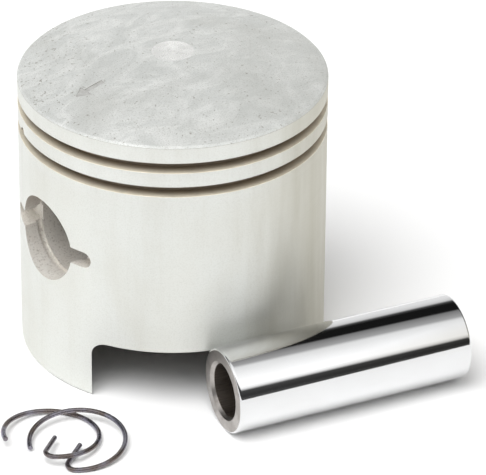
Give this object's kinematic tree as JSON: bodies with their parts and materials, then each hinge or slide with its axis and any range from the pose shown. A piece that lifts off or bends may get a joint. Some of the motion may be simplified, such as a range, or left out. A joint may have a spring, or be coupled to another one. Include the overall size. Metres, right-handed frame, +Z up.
{
  "type": "piston",
  "caption": "Domed engine piston with empty ring grooves and a skirt cutaway, laid out beside its hollow gudgeon pin and its hooked wire circlips.",
  "frame": {"origin": "on the ground, under the middle of the whole layout's bounding box", "axes": "+Z up along the piston's axis, from the skirt's foot to the crown; +X along the piston's pin bore, away from the circlips; +Y completes the right-handed frame, away from the gudgeon pin"},
  "size_m": [0.0844, 0.0786, 0.0589],
  "materials": {
    "piston_casting": "satin, turned skirt and sandblasted crown",
    "peg_steel": "drawn wire",
    "ground_steel": "ground and polished to a mirror, with plain ground ends",
    "spring_steel": "oiled dark spring wire"
  },
  "bodies": {
    "piston": {"piston_body": "piston_casting", "ring_peg_upper": "peg_steel", "ring_peg_lower": "peg_steel"},
    "gudgeon_pin": {"gudgeon_pin": "ground_steel"},
    "circlip_right": {"circlip_right": "spring_steel"},
    "circlip_left": {"circlip_left": "spring_steel"}
  },
  "joints": [
    {"name": "gudgeon_pin_lift", "type": "slide", "parent": "piston", "child": "gudgeon_pin", "axis": [-0.1146, -0.6978, 0.7071], "range_m": [0, 0.08]},
    {"name": "circlip_right_lift", "type": "slide", "parent": "piston", "child": "circlip_right", "axis": [0, 0, 1], "range_m": [0, 0.08]},
    {"name": "circlip_left_tip", "type": "hinge", "parent": "circlip_right", "child": "circlip_left", "pos_m": [-0.02515, -0.00711, 0.00045], "axis": [-0.342, 0.9397, 0], "range_deg": [0, 60]}
  ]
}
